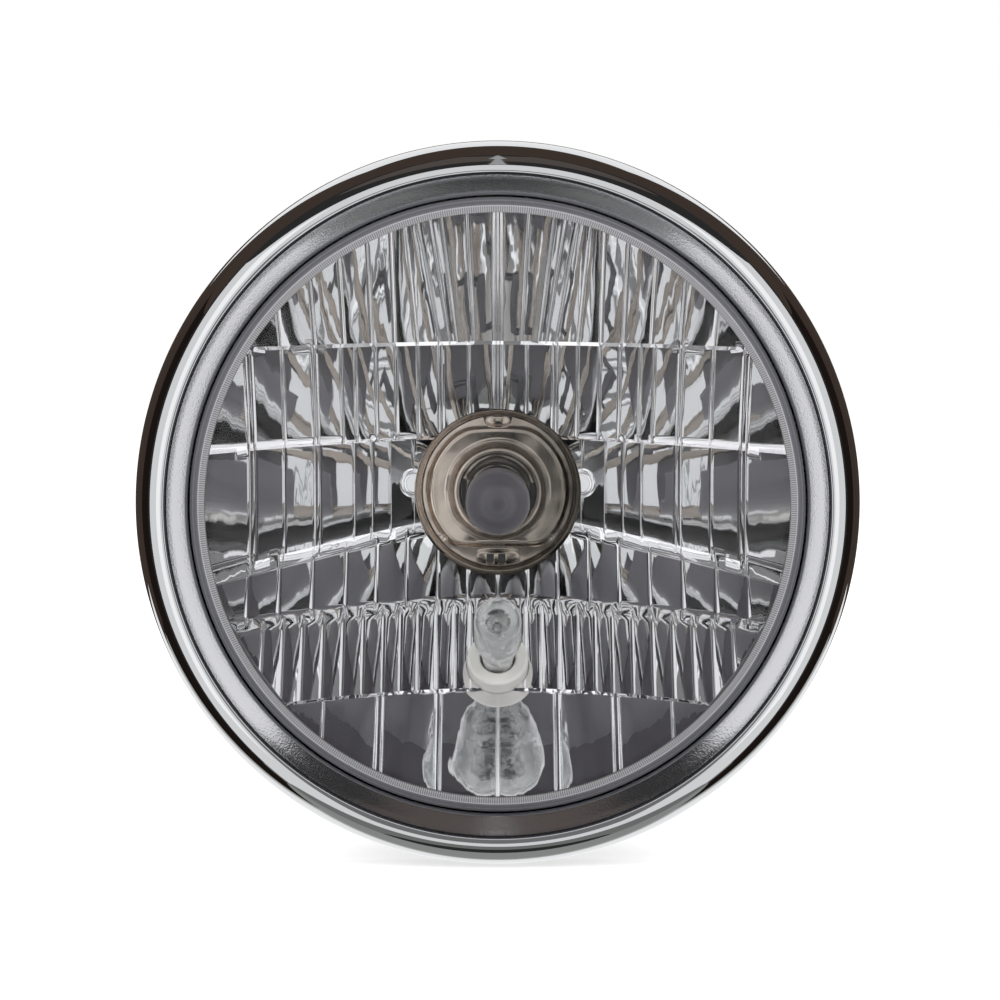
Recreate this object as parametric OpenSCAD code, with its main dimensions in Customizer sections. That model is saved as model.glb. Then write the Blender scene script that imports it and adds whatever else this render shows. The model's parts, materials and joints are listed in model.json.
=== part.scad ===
// Round motorcycle headlight: chrome rim, clear lens, faceted reflector,
// twin-filament bulb under a rubber boot, and a small position lamp below it.
// Every piece is drawn face up: X to the right, Y up the lamp, Z towards the lens.
// Height 0 is the rim's rear edge. Each node is then stood upright so that the lens faces -Y.

/* [Rim] */
// Radius of the opening that shows the lens
opening_r = 80.6; // [77:0.1:86]
// Width of the satin cone between the opening and the crease
cone_w = 5.6; // [5:0.1:7]
// Width of the step from the crease out to the crest of the bead
step_w = 1.2; // [1:0.1:1.6]
// Width of the bead from its crest out to the rim's side
bead_w = 7.6; // [6.6:0.1:9]
// Height of the rim's crest above its rear edge
rim_h = 22.5; // [22:0.5:25]
// Height of the straight skirt behind the bead
skirt_h = 9; // [8:0.5:10]
// Thickness of the rim's sheet
rim_wall = 1; // [0.8:0.1:1.2]
// Height of the opening's lip
opening_h = 16.8; // [16:0.1:18]
// Width of the lip turned in at the rim's rear edge
rear_lip_w = 2.6; // [2.4:0.1:3.2]

/* [Lens] */
// Thickness of the lens flange
lens_flange_t = 2.5; // [2.2:0.1:3]
// Height of the dome's edge above the opening's lip
lens_out_h = 3.4; // [3:0.1:6]
// Height of the dome above the shoulder
dome_rise = 12; // [10:0.5:14]
// Radius of the lens's rounded shoulder
shoulder_r = 4; // [3.5:0.25:5]
// Wall of the lens
lens_wall = 2.2; // [2:0.1:2.6]

/* [Reflector] */
// Wall of the reflector's front lip, inside the lens
lip_wall = 1; // [0.8:0.1:1.6]
// Focal length of the mirror
focal = 25.3; // [24.5:0.1:26.5]
// Depth of the mirror's edge behind the opening's lip
edge_back = 2.8; // [2.4:0.1:3.4]
// Depth of the shell behind the mirror, along the axis
shell_t = 5; // [4.6:0.1:5.6]
// Width of the neck round the throat
neck_w = 8.7; // [8.6:0.1:10]
// Radius of the two half-round bumps beside the throat
bump_r = 4; // [3:0.1:5]

/* [Bulb] */
// Diameter of the bulb's flange
bulb_flange_d = 43; // [42.8:0.1:43.2]
// Width of the flange that shows outside its raised plate
flange_edge_w = 2.5; // [2.2:0.1:3]
// Distance from the flange to the tip of the glass
bulb_reach = 56; // [54:1:60]
// Diameter of the bulb's glass
bulb_glass_d = 17; // [16:0.5:17.5]
// Outer radius of the metal cup round the glass
bulb_cup_r = 12.1; // [11.8:0.1:12.4]
// Radius of the insulator behind the flange
insulator_r = 15.5; // [15:0.1:16]
// Diameter of the spring wire that holds the bulb
wire_d = 1.5; // [1.2:0.1:1.8]
// Distance from the flange to the dipped filament
dipped_out = 30; // [29:0.5:31]
// Distance from the flange to the main filament
main_out = 21; // [20:0.5:22]
// Length of the insulator behind the flange
insulator_l = 12.5; // [12:0.5:13.5]
// Length of the terminal blades behind the insulator
blade_out = 16; // [14:0.5:18]
// Width of the terminal blades
blade_w = 8; // [7.6:0.1:8.2]
// Thickness of the terminal blades
blade_t = 0.8; // [0.7:0.05:0.9]
// Distance of the side blades from the axis
blade_x = 8.4; // [8.2:0.1:9]
// Length of the rubber boot behind the seat ring
boot_l = 21.5; // [20:0.5:24]
// Wall of the boot at its closed end
boot_wall = 3; // [2.5:0.25:3.5]

/* [Position lamp] */
// Distance of the position lamp below the axis, at the mirror
lamp_drop = 47.5; // [46:0.5:49]
// Tilt of the position lamp towards the axis
lamp_tilt = 37; // [34:1:40]
// Radius of its white collar
collar_r = 8.3; // [8.2:0.1:8.6]
// How far the collar stands out of the mirror
collar_h = 7; // [5:0.5:8]
// Diameter of the small bulb
small_bulb_d = 12.7; // [12:0.1:13]
// How far the small bulb stands out of the collar
small_bulb_out = 25; // [22:0.5:27]

/* [Fixing] */
// Width of each side tab
tab_w = 16; // [12:1:20]
// Distance of the screw holes behind the rim
screw_back = 8; // [7:0.5:10]
// Radius of the threaded hole in each nut
screw_r = 2.1; // [2:0.05:2.2]
// Width of each spring clip that holds the unit in the rim
spring_w = 12; // [9:1:14]

/* [Hidden] */
$fn = 72;

// Rim and lens flange, stacked from the opening's lip backwards
crease_r = opening_r + cone_w;
crest_r = crease_r + step_w;
rim_r = crest_r + bead_w;
skirt_in = rim_r - rim_wall;
lens_flange_r = crease_r + 0.2;
crease_h = rim_h - 1;
lip_under = opening_h - rim_wall;
flange_top = lip_under - 0.4;
shelf_h = flange_top - lens_flange_t;
channel_floor = shelf_h - 3.7;
tongue_end = shelf_h - 1.9;
ledge_back = shelf_h - 4.3;
// Lens wall, its tongue and the channel that takes the tongue
lens_out = opening_r - 0.3;
lens_in = lens_out - lens_wall;
tongue_out = lens_in + 2.8;
channel_in = lens_in - 0.3;
channel_out = tongue_out + 0.4;
dome_h = opening_h + lens_out_h;
dome_a = lens_out - shoulder_r;
dome_ball = (dome_a * dome_a + dome_rise * dome_rise) / (2 * dome_rise);
// Mirror and the neck behind it
mirror_r = channel_in - lip_wall;
mirror_edge_h = opening_h - edge_back;
vertex_h = mirror_edge_h - mirror_r * mirror_r / (4 * focal);
flange_r = bulb_flange_d / 2;
throat_r = flange_r + 1.3;
screw_ring_r = throat_r + 3.2;
neck_r = throat_r + neck_w;
shell_edge_r = mirror_r - 1.2;
neck_h = vertex_h;
ring_t = 1.2;
seat_back = neck_h - ring_t;
// Bulb
plate_r = flange_r - flange_edge_w;
plate_h = neck_h + 1;
cup_in = bulb_cup_r - 1.6;
cup_floor = plate_h + 1.2;
glass_r = bulb_glass_d / 2;
glass_tip = neck_h + bulb_reach;
shield_h = neck_h + dipped_out - 3;
insulator_end = seat_back - insulator_l;
blade_end = insulator_end - blade_out;
post_x = 3.2;
post_y = 1.5;
wire_r = wire_d / 2;
leg_x = insulator_r + wire_r + 0.35;
bar_y = screw_ring_r - 4;
hook_y = flange_r - 4.5;
saddle_t = wire_d + 1.3;
boot_end = seat_back - boot_l;
boot_r = blade_x + 14.1;
boot_step = seat_back - insulator_l - 0.5;
// Position lamp
lamp_h = vertex_h + lamp_drop * lamp_drop / (4 * focal);
boss_back = -8;
collar_in = small_bulb_d / 2 + 0.25;
socket_face = -4;

// Mirror: rows of facets from top to bottom. Each row has an upper border, with its fall away
// from the middle and half the width of its ledge, then the row's lift, bend and mesh steps
span = mirror_r + 2.3;
row_top = [span, 41.2, 15.2, -6.2, -30, -51.8, -span];
row_fall = [0, 0.008, 0.02, 0.175, 0.025, 0.008, 0];
ledge = [0, 0.6, 0.6, 1.45, 1.15, 0.5, 0];
row_lift = [0, 0.8, 0, 1.6, 2.4, 1.2];
row_bend = [26, 24, 40, 14, 7, 60];
row_cuts = [3, 3, 4, 3, 2, 4];
row_steps = [3, 4, 3, 3, 3, 3];
flutes = [
  [0, 6.4, 13, 15.7, 21.7, 27.8, 33.8, 41, 48.5, 57, span],
  [0, 7.8, 15.7, 21.6, 27.5, 32.8, 38.2, 41.9, 48.7, 56.8, 65, span],
  [0, 14.6, 29.3, 34.2, 39, 48.6, 57, 65, span],
  [0, 8.1, 16.3, 24.8, 32.9, 41, 49.7, 58.2, 66, span],
  [0, 3.8, 7.6, 11.9, 16.7, 21.6, 26.3, 30.9, 36.2, 41.5, 46.7, 51.9, 56.9, 62, span],
  [0, 15.9, 31.4, 46, span]
];

function both_sides(v) = concat([for (i = [len(v) - 1 : -1 : 1]) -v[i]], v);
function cut_up(v, n) = concat(
  [for (i = [0 : len(v) - 2]) for (j = [0 : n - 1]) v[i] + (v[i + 1] - v[i]) * j / n],
  [v[len(v) - 1]]
);
columns = [for (k = [0 : 5]) both_sides(cut_up(flutes[k], row_cuts[k]))];

function flute_at(v, a, i = 0) = i >= len(v) - 2 || a < v[i + 1] ? i : flute_at(v, a, i + 1);
function round_top(a, mid, half, bend) = sqrt(bend * bend - (a - mid) * (a - mid))
  - sqrt(bend * bend - half * half);
function bulge(k, x) = let (v = flutes[k], a = abs(x), i = flute_at(v, a), half = (v[i + 1] - v[i]) / 2)
  round_top(a, (v[i + 1] + v[i]) / 2, half, max(row_bend[k], half * 1.5));
function dish(x, y) = vertex_h + (x * x + y * y) / (4 * focal);
function border(k, x) = row_top[k] - row_fall[k] * abs(x);
function row_high(k, x) = border(k, x) - ledge[k];
function row_low(k, x) = border(k + 1, x) + ledge[k + 1];
function face_h(k, x, y) = dish(x, y) + row_lift[k] + bulge(k, x);
function row_point(k, x, t) = let (y = row_high(k, x) + (row_low(k, x) - row_high(k, x)) * t)
  [x, y, face_h(k, x, y)];

row_points = [
  for (k = [0 : 5]) [for (x = columns[k]) for (j = [0 : row_steps[k]]) row_point(k, x, j / row_steps[k])]
];
function total(v, n) = n <= 0 ? 0 : v[n - 1] + total(v, n - 1);
row_sizes = [for (p = row_points) len(p)];
row_start = [for (k = [0 : 6]) total(row_sizes, k)];
function at(k, i, j) = row_start[k] + i * (row_steps[k] + 1) + j;
function last(k) = len(columns[k]) - 1;

row_faces = [
  for (k = [0 : 5]) for (i = [0 : last(k) - 1]) for (j = [0 : row_steps[k] - 1])
    each [
      [at(k, i, j), at(k, i + 1, j + 1), at(k, i + 1, j)],
      [at(k, i, j), at(k, i, j + 1), at(k, i + 1, j + 1)]
    ]
];
function upper_next(k, i, j) = j == last(k + 1)
  || (i < last(k) && columns[k][i + 1] <= columns[k + 1][j + 1]);
function ledge_strip(k, i = 0, j = 0) = i == last(k) && j == last(k + 1) ? [] : upper_next(k, i, j)
  ? concat([[at(k, i, row_steps[k]), at(k + 1, j, 0), at(k, i + 1, row_steps[k])]], ledge_strip(k, i + 1, j))
  : concat([[at(k, i, row_steps[k]), at(k + 1, j, 0), at(k + 1, j + 1, 0)]], ledge_strip(k, i, j + 1));
ledge_faces = [for (k = [0 : 4]) each ledge_strip(k)];
ring = concat(
  [for (i = [0 : last(0)]) at(0, i, 0)],
  [for (k = [0 : 5]) for (j = [(k == 0 ? 1 : 0) : row_steps[k]]) at(k, last(k), j)],
  [for (i = [last(5) - 1 : -1 : 0]) at(5, i, row_steps[5])],
  [for (k = [5 : -1 : 0])
    for (j = [(k == 5 ? row_steps[5] - 1 : row_steps[k]) : -1 : (k == 0 ? 1 : 0)]) at(k, 0, j)]
);
mesh_points = [for (p = row_points) each p];
first_cap = len(mesh_points);
ring_n = len(ring);
cap_h = mirror_edge_h + mirror_r;
cap_points = [for (i = ring) [mesh_points[i].x, mesh_points[i].y, cap_h]];
wall_faces = [
  for (i = [0 : ring_n - 1]) let (q = (i + 1) % ring_n)
    each [[ring[q], first_cap + i, ring[i]], [ring[q], first_cap + q, first_cap + i]]
];
cap_faces = [for (i = [0 : ring_n - 1]) [first_cap + i, first_cap + (i + 1) % ring_n, first_cap + ring_n]];

function arc_point(cr, ch, rr, rh, t) = [cr + rr * cos(t), ch + rh * sin(t)];
function cone_under(r) = lip_under
  + (r - opening_r - 0.8) * (crease_h - 1.2 - lip_under) / (crease_r - 0.2 - opening_r - 0.8);
function dome_at(r) = dome_h + sqrt(dome_ball * dome_ball - r * r) - (dome_ball - dome_rise);
function shell_back(r) = vertex_h - shell_t + r * r / (4 * focal);

module upright() {
  rotate([90, 0, 0]) children();
}

module box(x0, x1, y0, y1, z0, z1) {
  translate([x0, y0, z0]) cube([x1 - x0, y1 - y0, z1 - z0]);
}

module ring_shape(r_in, r_out, z0, z1) {
  difference() {
    translate([0, 0, z0]) cylinder(r = r_out, h = z1 - z0);
    translate([0, 0, z0 - 1]) cylinder(r = r_in, h = z1 - z0 + 2);
  }
}

module at_lamp() {
  translate([0, -lamp_drop, lamp_h]) rotate([-lamp_tilt, 0, 0]) children();
}

// Rod from one point to another in a plane of constant height
module flat_rod(x0, y0, x1, y1, h, r) {
  translate([x0, y0, h]) rotate([0, 90, atan2(y1 - y0, x1 - x0)])
    cylinder(r = r, h = norm([x1 - x0, y1 - y0]));
}

module rim_profile() {
  polygon(concat(
    [[rim_r - rear_lip_w, 0], [rim_r - 0.6, 0], [rim_r, 0.6], [rim_r, skirt_h]],
    [for (i = [1 : 14]) arc_point(crest_r, skirt_h, rim_r - crest_r, rim_h - skirt_h, i * 90 / 14)],
    [[crest_r - 0.7, rim_h - 0.2], [crease_r, crease_h]],
    [[crease_r - 0.3, crease_h - 0.1], [opening_r + 0.5, opening_h + 0.35], [opening_r, opening_h - 0.2]],
    [[opening_r, lip_under], [opening_r + 0.8, lip_under], [crease_r - 0.2, crease_h - 1.2]],
    [for (i = [10 : -1 : 1])
      arc_point(crest_r, skirt_h, skirt_in - crest_r, rim_h - rim_wall - skirt_h, i * 90 / 10)],
    [[skirt_in, skirt_h], [skirt_in, rim_wall], [rim_r - rear_lip_w, rim_wall]]
  ));
}

module trim_rim() {
  color("silver") upright() difference() {
    rotate_extrude($fn = 120) rim_profile();
    for (s = [-1, 1]) intersection() {
      translate([0, 0, -1]) cylinder(r = skirt_in, h = rim_wall + 2);
      box(s * rim_r - 9, s * rim_r + 9, -tab_w / 2 - 0.3, tab_w / 2 + 0.3, -1, rim_wall + 0.5);
    }
  }
}

module side_tab() {
  difference() {
    intersection() {
      ring_shape(skirt_in - 1.5, skirt_in, -screw_back - 6, 7);
      box(skirt_in - 8, skirt_in + 2, -tab_w / 2, tab_w / 2, -screw_back - 6, 7);
    }
    translate([skirt_in - 9, 0, -screw_back]) rotate([0, 90, 0]) cylinder(r = 2.6, h = 12);
  }
}

module side_nut() {
  difference() {
    intersection() {
      translate([skirt_in - 5.6, 0, -screw_back]) rotate([0, 90, 0]) cylinder(r = 4.6, h = 6, $fn = 6);
      translate([0, 0, -screw_back - 8]) cylinder(r = skirt_in - 1.5, h = 16, $fn = 360);
    }
    translate([skirt_in - 9, 0, -screw_back]) rotate([0, 90, 0]) cylinder(r = screw_r, h = 12);
  }
}

module rim_tab_right() {
  color("gray") upright() side_tab();
}

module rim_tab_left() {
  color("gray") upright() mirror([1, 0, 0]) side_tab();
}

module rim_nut_right() {
  color("gray") upright() side_nut();
}

module rim_nut_left() {
  color("gray") upright() mirror([1, 0, 0]) side_nut();
}

module rim_gasket() {
  g0 = opening_r + 0.8;
  g1 = crease_r - 0.5;
  color("dimgray") upright() rotate_extrude() polygon([
    [g0, flange_top], [g1, flange_top], [g1, cone_under(g1)], [g0, cone_under(g0)]
  ]);
}

module lens_profile() {
  polygon(concat(
    [[lens_in, tongue_end], [tongue_out, tongue_end], [tongue_out, shelf_h], [lens_flange_r, shelf_h]],
    [[lens_flange_r, flange_top], [lens_out, flange_top]],
    [for (i = [0 : 6]) arc_point(dome_a, dome_h - shoulder_r, shoulder_r, shoulder_r, i * 15)],
    [for (i = [1 : 14]) [dome_a * (1 - i / 14), dome_at(dome_a * (1 - i / 14))]],
    [for (i = [14 : -1 : 1]) [dome_a * (1 - i / 14), dome_at(dome_a * (1 - i / 14)) - lens_wall]],
    [for (i = [6 : -1 : 0])
      arc_point(dome_a, dome_h - shoulder_r, shoulder_r - lens_wall, shoulder_r - lens_wall, i * 15)]
  ));
}

module lens() {
  color("white", 0.4) upright() rotate_extrude($fn = 120) lens_profile();
}

module lens_seal() {
  color("black") upright() ring_shape(channel_in + 0.2, channel_out - 0.2, channel_floor, tongue_end);
}

module light_space() {
  intersection() {
    polyhedron(
      points = concat(mesh_points, cap_points, [[0, 0, cap_h]]),
      faces = concat(row_faces, ledge_faces, wall_faces, cap_faces),
      convexity = 10
    );
    translate([0, 0, -70]) cylinder(r = mirror_r, h = 120);
  }
}

module throat_bump(side) {
  translate([side * throat_r, 2.4, neck_h + 1]) cylinder(r = bump_r, h = 8, $fn = 36);
}

module bowl() {
  rotate_extrude() polygon(concat(
    [[0, shelf_h + 2.6], [channel_in - 0.3, shelf_h + 2.6], [channel_in, shelf_h + 2.3]],
    [[channel_in, channel_floor], [channel_out, channel_floor], [channel_out, shelf_h]],
    [[lens_flange_r, shelf_h], [lens_flange_r, ledge_back]],
    [[lens_flange_r - 2.8, ledge_back], [lens_flange_r - 3.8, shell_back(shell_edge_r)]],
    [for (i = [0 : 10]) let (r = shell_edge_r - (shell_edge_r - neck_r) * i / 10) [r, shell_back(r)]],
    [[neck_r, neck_h], [0, neck_h]]
  ));
}

module reflector() {
  color("lightgray") upright() difference() {
    union() {
      bowl();
      at_lamp() translate([0, 0, boss_back]) cylinder(r = 12, h = 6);
    }
    difference() {
      light_space();
      throat_bump(-1);
      throat_bump(1);
    }
    translate([0, 0, neck_h - 3]) cylinder(r = throat_r, h = 24);
    at_lamp() translate([0, 0, boss_back - 2]) cylinder(r = collar_r + 0.2, h = 16);
    for (a = [0 : 90 : 270]) rotate([0, 0, a])
      translate([screw_ring_r, 0, neck_h - 1]) cylinder(r = 1.6, h = 5.5, $fn = 24);
  }
}

module spring_clip(a) {
  r0 = lens_flange_r - 2.4;
  color("gray") upright() rotate([0, 0, a]) translate([0, spring_w / 2, 0]) rotate([90, 0, 0])
    linear_extrude(spring_w) polygon([
      [r0, ledge_back], [r0 + 2.6, ledge_back], [rim_r - 3.4, rim_wall + 0.8], [rim_r - 1.7, rim_wall + 0.8],
      [rim_r - 1.7, rim_wall], [rim_r - 4, rim_wall], [r0 + 2, ledge_back - 0.8], [r0, ledge_back - 0.8]
    ]);
}

module spring_clip_1() {
  spring_clip(45);
}

module spring_clip_2() {
  spring_clip(135);
}

module spring_clip_3() {
  spring_clip(225);
}

module spring_clip_4() {
  spring_clip(315);
}

// Hook that holds one leg of the bulb clip
module clip_hook() {
  hook_back = seat_back - wire_d - 0.9;
  box(leg_x + wire_r, leg_x + wire_r + 1.3, hook_y, hook_y + 4, hook_back, seat_back + 0.5);
  box(leg_x - 0.4, leg_x + wire_r + 1.3, hook_y, hook_y + 4, hook_back, seat_back - wire_d);
}

module bulb_seat_ring() {
  color("tan") upright() difference() {
    union() {
      rotate_extrude() polygon([
        [flange_r + 0.2, seat_back], [neck_r - 0.5, seat_back],
        [neck_r - 0.5, neck_h], [throat_r - 0.1, neck_h],
        [throat_r - 0.1, neck_h + 2.3], [throat_r - 0.5, neck_h + 2.3], [flange_r - 0.9, neck_h + 0.9],
        [flange_r - 0.9, neck_h], [flange_r + 0.2, neck_h]
      ]);
      clip_hook();
      mirror([1, 0, 0]) clip_hook();
    }
    rotate([0, 0, 90]) box(flange_r - 1.5, flange_r + 1.8, -4.3, 4.3, seat_back - 1, neck_h);
    for (a = [-41, 221]) rotate([0, 0, a])
      box(flange_r - 1.5, flange_r + 1.8, -3.3, 3.3, seat_back - 1, neck_h);
    for (a = [0 : 90 : 270]) rotate([0, 0, a])
      translate([screw_ring_r, 0, seat_back - 1]) cylinder(r = 1.6, h = ring_t + 2, $fn = 24);
  }
}

module pan_screw(z) {
  translate([0, 0, z - 1.8]) cylinder(r = 2.6, h = 1.8, $fn = 24);
  translate([0, 0, z - 0.2]) cylinder(r = 1.5, h = 4.6 + 0.2, $fn = 24);
}

module ring_screws() {
  color("gray") upright() for (a = [0, 90, 180]) rotate([0, 0, a])
    translate([screw_ring_r, 0, 0]) pan_screw(seat_back);
}

module bulb_flange() {
  color("tan") upright() difference() {
    union() {
      translate([0, 0, seat_back]) cylinder(r = flange_r, h = ring_t);
      rotate([0, 0, 90]) box(flange_r - 3.5, flange_r + 1.4, -4, 4, seat_back, neck_h);
      for (a = [-41, 221]) rotate([0, 0, a]) box(flange_r - 3.5, flange_r + 1.4, -3, 3, seat_back, neck_h);
      intersection() {
        translate([0, 0, neck_h - 0.1]) cylinder(r = plate_r, h = 1.1);
        box(-flange_r, flange_r, 4 - plate_r, plate_r - 1.4, neck_h - 1, neck_h + 3);
      }
    }
    translate([0, plate_r + 0.2, neck_h + 0.5]) cylinder(r = 4.1, h = 2);
    for (x = [-2.2, 1.1]) box(x - 1.2, x + 1.2, 1.6 - flange_r, 4 - flange_r, seat_back - 1, neck_h + 1);
  }
}

module bulb_cup() {
  color("silver") upright() difference() {
    translate([0, 0, plate_h]) cylinder(r = bulb_cup_r, h = 6.4);
    translate([0, 0, cup_floor]) cylinder(r = cup_in, h = 8);
    box(-9.9, -8.7, -4.7, 3.3, plate_h - 1, cup_floor + 1);
    box(8.7, 9.9, -4.7, 2.2, plate_h - 1, cup_floor + 1);
  }
}

module bulb_glass() {
  color("white", 0.5) upright() rotate_extrude() polygon(concat(
    [[glass_r - 1, cup_floor], [glass_r, cup_floor]],
    [for (i = [0 : 8]) arc_point(0, glass_tip - 6, glass_r, 6, i * 90 / 8)],
    [for (i = [8 : -1 : 0]) arc_point(0, glass_tip - 6, glass_r - 1, 5, i * 90 / 8)]
  ));
}

module bulb_shield() {
  color("silver") upright() difference() {
    translate([0, 0, shield_h]) cylinder(r = 5.2, h = 12);
    translate([0, 0, shield_h - 1]) cylinder(r = 4.7, h = 12.4);
    box(-6, 6, -0.3, 6, shield_h - 1, shield_h + 13);
  }
}

module filament_posts() {
  color("silver") upright() {
    for (x = [-post_x, post_x])
      translate([x, post_y, cup_floor]) cylinder(r = 0.6, h = neck_h + dipped_out + 7 - cup_floor, $fn = 24);
    translate([0, -4.95, cup_floor]) cylinder(r = 0.6, h = shield_h - cup_floor, $fn = 24);
  }
}

module axial_coil(z0, z1) {
  translate([0, post_y, z0]) cylinder(r = 0.7, h = z1 - z0, $fn = 24);
  flat_rod(-post_x + 0.6, post_y, 0, post_y, z1 - 0.35, 0.3);
  flat_rod(0, post_y, post_x - 0.6, post_y, z0 + 0.35, 0.3);
}

module dipped_filament() {
  color("orange") upright() axial_coil(neck_h + dipped_out, neck_h + dipped_out + 5.5);
}

module main_filament() {
  color("orange") upright() axial_coil(neck_h + main_out, neck_h + main_out + 4.5);
}

module blade_top(grow) {
  half = blade_t / 2;
  box(-blade_w / 2, blade_w / 2, blade_x - half, blade_x + half, blade_end - grow, insulator_end + 4);
}

module blade_side(s, grow) {
  edge = s * blade_x;
  box(edge - blade_t / 2, edge + blade_t / 2, -blade_w + 3, 3, blade_end - grow, insulator_end + 4);
}

module bulb_insulator() {
  color("dimgray") upright() difference() {
    rotate_extrude() polygon([
      [0, seat_back], [insulator_r, seat_back],
      [insulator_r, seat_back - 2.2], [insulator_r - 2.3, seat_back - 4],
      [insulator_r - 3.1, insulator_end], [0, insulator_end]
    ]);
    blade_top(0);
    blade_side(-1, 0);
    blade_side(1, 0);
  }
}

module terminal_top() {
  color("silver") upright() blade_top(0);
}

module terminal_left() {
  color("silver") upright() blade_side(-1, 0);
}

module terminal_right() {
  color("silver") upright() blade_side(1, 0);
}

module bulb_clip() {
  h = seat_back - wire_r;
  color("gray") upright() {
    for (s = [-1, 1]) {
      flat_rod(s * leg_x, -bar_y, s * leg_x, bar_y, h, wire_r);
      translate([s * leg_x, -bar_y, h]) sphere(r = wire_r);
    }
    flat_rod(-leg_x, -bar_y, leg_x, -bar_y, h, wire_r);
  }
}

module clip_saddle() {
  color("gray") upright() difference() {
    box(-5, 5, -screw_ring_r - 2.6, -bar_y + wire_r + 1.2, seat_back - saddle_t, seat_back);
    flat_rod(-7, -bar_y, 7, -bar_y, seat_back - wire_r, wire_r);
    box(-7, 7, -bar_y - wire_r, -bar_y + wire_r, seat_back - wire_r, seat_back + 1);
    translate([0, -screw_ring_r, seat_back - saddle_t - 1]) cylinder(r = 1.6, h = saddle_t + 2, $fn = 24);
  }
}

module saddle_screw() {
  color("gray") upright() translate([0, -screw_ring_r, 0]) pan_screw(seat_back - saddle_t);
}

// Slot in the boot for one blade, 0.2 wider all round
module boot_slot(x0, x1, y0, y1) {
  box(x0 - 0.2, x1 + 0.2, y0 - 0.2, y1 + 0.2, boot_end - 1, boot_end + boot_wall + 2);
}

module bulb_boot() {
  color("black") upright() difference() {
    rotate_extrude() difference() {
      polygon([
        [0, boot_end], [boot_r - 1.5, boot_end], [boot_r, boot_end + 1.5], [boot_r, boot_step],
        [neck_r + 3, seat_back - 5],
        [neck_r + 3, neck_h + 1.8], [neck_r + 2, neck_h + 2.8], [0, neck_h + 2.8]
      ]);
      polygon([
        [0, boot_end + boot_wall], [boot_r - 3.5, boot_end + boot_wall], [boot_r - 3.5, boot_step + 1],
        [neck_r - 2, seat_back - 6], [neck_r - 2, seat_back],
        [neck_r + 0.1, seat_back], [neck_r + 0.1, neck_h + 4], [0, neck_h + 4]
      ]);
    }
    boot_slot(-blade_w / 2, blade_w / 2, blade_x - blade_t / 2, blade_x + blade_t / 2);
    for (s = [-1, 1]) boot_slot(s * blade_x - blade_t / 2, s * blade_x + blade_t / 2, -blade_w + 3, 3);
  }
}

module lamp_gasket() {
  color("black") upright() at_lamp() ring_shape(collar_r + 0.4, 11.5, boss_back - 1, boss_back);
}

module lamp_collar() {
  color("white") upright() at_lamp() difference() {
    union() {
      translate([0, 0, boss_back - 2.5]) cylinder(r = collar_r, h = collar_h - boss_back + 2.5);
      translate([0, 0, boss_back - 2.5]) cylinder(r = 11, h = 1.5);
    }
    translate([0, 0, boss_back - 4]) cylinder(r = collar_in, h = 30);
  }
}

module lamp_socket() {
  color("dimgray") upright() at_lamp() difference() {
    union() {
      translate([0, 0, boss_back - 3]) cylinder(r = collar_in - 0.15, h = socket_face - boss_back + 3);
      translate([0, 0, boss_back - 5.5]) cylinder(r = 9.5, h = 3);
      translate([0, 0, boss_back - 17]) cylinder(r = 7.2, h = 12);
    }
    for (s = [-1, 1]) socket_blade(s);
  }
}

module socket_blade(s) {
  box(s * 3.5 - 0.4, s * 3.5 + 0.4, -2.4, 2.4, boss_back - 24, boss_back - 13);
}

module lamp_glass() {
  r = small_bulb_d / 2;
  ball = collar_h + small_bulb_out - r;
  color("white", 0.5) upright() at_lamp() rotate_extrude() polygon(concat(
    [[r - 0.8, socket_face], [r, socket_face]],
    [for (i = [0 : 8]) arc_point(0, ball, r, r, i * 90 / 8)],
    [for (i = [8 : -1 : 0]) arc_point(0, ball, r - 0.8, r - 0.8, i * 90 / 8)]
  ));
}

module lamp_posts() {
  color("silver") upright() at_lamp() for (s = [-1, 1])
    translate([s * 2.6, 0, socket_face]) cylinder(r = 0.45, h = 21, $fn = 24);
}

module lamp_filament() {
  color("orange") upright() at_lamp() flat_rod(-2.15, 0, 2.15, 0, socket_face + 20.4, 0.35);
}

module lamp_contact_left() {
  color("silver") upright() at_lamp() socket_blade(-1);
}

module lamp_contact_right() {
  color("silver") upright() at_lamp() socket_blade(1);
}

trim_rim();
rim_tab_left();
rim_tab_right();
rim_nut_left();
rim_nut_right();
rim_gasket();
lens();
lens_seal();
reflector();
spring_clip_1();
spring_clip_2();
spring_clip_3();
spring_clip_4();
bulb_seat_ring();
ring_screws();
bulb_flange();
bulb_cup();
bulb_glass();
bulb_shield();
filament_posts();
dipped_filament();
main_filament();
bulb_insulator();
terminal_top();
terminal_left();
terminal_right();
bulb_clip();
clip_saddle();
saddle_screw();
bulb_boot();
lamp_gasket();
lamp_collar();
lamp_socket();
lamp_glass();
lamp_posts();
lamp_filament();
lamp_contact_left();
lamp_contact_right();
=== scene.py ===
import json
import math

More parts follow.
